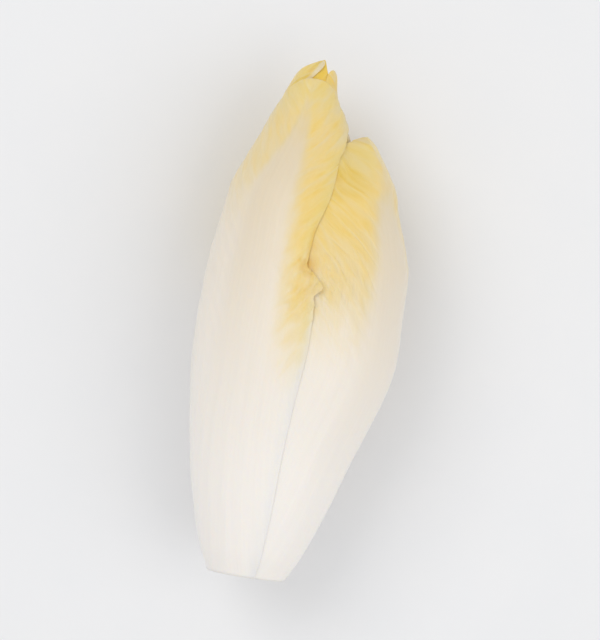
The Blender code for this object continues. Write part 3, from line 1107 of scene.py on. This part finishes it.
def leaf_bump(tree, at, ripe, lines, streak):
    """The bump's normal, from a height in millimetres."""
    line = add(tree, "Math", (lines, streak), operation="MAXIMUM")
    line = add(tree, "Math", (line, LINE_RELIEF), operation="MULTIPLY")
    depth = add(tree, "Math", (at["crumple"], CRUMPLE_RELIEF), operation="MULTIPLY")
    depth = add(tree, "Math", (ripe, PLEAT_RELIEF, depth), operation="MULTIPLY_ADD")
    crease = (at["crinkle"], CRINKLE_SHARE, at["pleat"])
    crease = add(tree, "Math", crease, operation="MULTIPLY_ADD")
    crease = add(tree, "Math", (at["fold"], at["crumple"], crease), operation="MULTIPLY_ADD")
    height = add(tree, "Math", (crease, depth, line), operation="MULTIPLY_ADD")
    return add(tree, "Bump", {"Height": height, "Distance": MM, "Strength": 1.0})


print(f"the yellow blade's bump is up to {PLEAT_RELIEF} mm high")

# %% [markdown]
# The flesh of a leaf is crisp and holds a lot of water, so light soaks about a millimetre into it and
# comes out again, red furthest: that is subsurface scattering. On top grew the plant's own wax, as a
# fine bloom. It gives a soft satin gloss with an index of refraction near 1.45, a little uneven where
# the bloom is rubbed, and a faint sheen that lightens the leaf where it turns away.

# %% The leaf material
WAX = {"IOR": 1.45, "Sheen_Weight": 0.25}
FLESH_SCATTER = {"Subsurface_Radius": (1.0, 0.8, 0.5), "Subsurface_Scale": MM}
RUBBED, GLOSS = (0.2, 0.8), (0.36, 0.48)  # roughness goes from one to the other with the clouds


def leaf_material(name, yellow):
    """Witloof leaf with its wax bloom, whose ripe blade has this yellow."""
    material, tree, shader = new_material(name, Subsurface_Weight=0.25, **WAX, **FLESH_SCATTER)
    at = leaf_places(tree)
    ripe = yellowness(tree, at)
    lines = add(tree, "Math", (vein_lines(tree, at), ripe), operation="MULTIPLY")
    streak = fibres(tree, at)
    colour = leaf_colour(tree, at, ripe, lines, streak, yellow)
    gloss = add(tree, "MapRange", (at["cloud"], *RUBBED, *GLOSS), **SMOOTH)
    bump = leaf_bump(tree, at, ripe, lines, streak)
    tree.links.new(colour, shader.inputs["Base Color"])
    tree.links.new(gloss, shader.inputs["Roughness"])
    tree.links.new(bump, shader.inputs["Normal"])
    return material


# The yellow is paler on the outer leaves, and deeper further in.
YELLOWS = {
    "outer_leaf": "ebcd7a",
    "middle_leaf": "efc44c",
    "inner_leaf": "ebc24a",
    "heart_leaf": "e8c046",
}
skins = {slot: leaf_material(slot + "_skin", linear(hue)) for slot, hue in YELLOWS.items()}
print("leaf materials:", ", ".join(skins))

# %% [markdown]
# The cut end of the stem is the same flesh with its cells laid open: matt, moist and ivory, with the
# ring of sap vessels a little darker and the rim browned by the air. It is cut and not grown, so it
# has no wax, a higher roughness and an index of refraction nearer that of water.

# %% The stem material
STEM_FLESH, STEM_RING, STEM_RIM = linear("f2e8d2"), linear("dccba2"), linear("c9a877")
STEM_GRAIN, STEM_GRAIN_DEPTH = {"Scale": 900.0, "Detail": 3.0}, 0.2 * MM  # bumps of 1.1 mm
STEM_PATCH = {"Scale": 260.0, "Detail": 2.0}  # patches of 4 mm
RING_AT, RING_STRAY, RING_WIDTH, RING_SHOWS = 0.78, 0.2, (0.02, 0.1), 0.8
BROWNED_AT, BROWNED_STRAY = (0.95, 1.08), 0.12


def stem_material():
    """Cut chicory stem. The rim value is 0 at the centre of the cut and 1 at its edge."""
    wet_cut = {"Roughness": 0.55, "IOR": 1.4, "Subsurface_Weight": 0.2}
    material, tree, shader = new_material("stem_flesh", **wet_cut, **FLESH_SCATTER)
    rim = add(tree, "Attribute", output="Fac", attribute_name="rim")
    place = add(tree, "TexCoord", output="Object")
    grain = add(tree, "TexNoise", {"Vector": place, **STEM_GRAIN})
    patch = add(tree, "TexNoise", {"Vector": place, **STEM_PATCH})
    ring = add(tree, "Math", (patch, RING_STRAY, rim), operation="MULTIPLY_ADD")
    ring = add(tree, "Math", (ring, RING_AT), operation="SUBTRACT")
    ring = add(tree, "Math", (ring,), operation="ABSOLUTE")
    ring = add(tree, "MapRange", (ring, *RING_WIDTH, RING_SHOWS, 0.0), **SMOOTH)
    browned = add(tree, "Math", (patch, BROWNED_STRAY, rim), operation="MULTIPLY_ADD")
    browned = add(tree, "MapRange", (browned, *BROWNED_AT), **SMOOTH)
    colour = add(tree, "Mix", {0: ring, 6: STEM_FLESH, 7: STEM_RING}, **COLOURS)
    colour = add(tree, "Mix", {0: browned, 6: colour, 7: STEM_RIM}, **COLOURS)
    bump = {"Height": grain, "Distance": STEM_GRAIN_DEPTH, "Strength": 1.0}
    tree.links.new(colour, shader.inputs["Base Color"])
    tree.links.new(add(tree, "Bump", bump), shader.inputs["Normal"])
    return material


stem.data.materials.append(stem_material())
print("stem material:", stem.data.materials[0].name)

# %% [markdown]
# ## Into the frame
#
# Each modelled piece rides on the head's one body and takes the material of its group, and the plain
# solid of its own leaf is hidden.

# %% Give each piece its place in the frame
for leaf, piece in zip(LEAVES, pieces):
    slot = leaf["name"].rsplit("_", 1)[0]
    piece.data.materials.append(skins[slot])
    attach(piece, "root")
    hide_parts(leaf["name"])
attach(stem, "root")
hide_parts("stem")
print("pieces in the frame:", len(pieces) + 1)

# %% [markdown]
# ## The studio
#
# The head lies on a plain pale table, so a curved backdrop isn't needed. The table is rolled with matt
# paint, whose nap leaves it faintly uneven.

# %% Table
TABLE_HALF_SIZE = 1.5  # in metres
NAP = {"Scale": 60.0, "Detail": 2.0}  # patches of 17 mm, coarser than real nap so that they show
PAINT_LOW, PAINT_HIGH = linear("e8e9eb"), linear("ebebec")

table_mesh = bpy.data.meshes.new("table")
table_bm = bmesh.new()
bmesh.ops.create_grid(table_bm, x_segments=1, y_segments=1, size=TABLE_HALF_SIZE)
table_bm.to_mesh(table_mesh)
table_bm.free()
table = new_piece("table", table_mesh)
table_paint, table_tree, table_shader = new_material("table_paint", Roughness=0.7)
nap = {"Vector": add(table_tree, "TexCoord", output="Object"), **NAP}
nap = add(table_tree, "TexNoise", nap)
paint = add(table_tree, "Mix", {0: nap, 6: PAINT_LOW, 7: PAINT_HIGH}, **COLOURS)
table_tree.links.new(paint, table_shader.inputs["Base Color"])
table.data.materials.append(table_paint)
print("the table is", 2 * TABLE_HALF_SIZE, "m wide")

# %% [markdown]
# Two large soft lamps and a pale sky leave hardly any shadow. The lamp at the upper left is smaller
# and a little stronger, so the right side of each form is a little darker.

# %% Lamps and sky
SKY_STRENGTH = 0.7


def lamp(name, place, size, power):
    """A square soft lamp that faces the head, with its place and size in metres."""
    light = bpy.data.lights.new(name, "AREA")
    light.size = size
    light.energy = power
    holder = bpy.data.objects.new(name, light)
    holder.location = place
    holder.rotation_euler = (-Vector(place)).to_track_quat("-Z", "Y").to_euler()
    bpy.context.scene.collection.objects.link(holder)


lamp("key_lamp", (-0.7, 0.5, 1.2), 0.9, 5.5)
lamp("fill_lamp", (0.9, -0.2, 1.1), 1.2, 5.0)

world = bpy.data.worlds.new("studio")
world.use_nodes = True
sky = world.node_tree.nodes["Background"]
sky.inputs["Color"].default_value = (1.0, 1.0, 1.0, 1.0)
sky.inputs["Strength"].default_value = SKY_STRENGTH
bpy.context.scene.world = world
bpy.context.scene.view_settings.view_transform = "Standard"
print("lamps:", len(bpy.data.lights))

# %% [markdown]
# A long lens keeps the head's outline free of perspective. The camera looks straight down, turned so
# that the head leans to the right.

# %% Camera
LEAN = math.radians(8.8)
CAMERA_HEIGHT, LENS = 0.9, 190.0

lens = bpy.data.cameras.new("camera")
lens.lens = LENS
camera = bpy.data.objects.new("camera", lens)
camera.location = (0.0, 0.0, CAMERA_HEIGHT)
camera.rotation_euler = (0.0, 0.0, LEAN)
bpy.context.scene.collection.objects.link(camera)
bpy.context.scene.camera = camera
print("the camera is", CAMERA_HEIGHT, "m above the table")

# %% The frame's box
print("frame box:", cad_box)
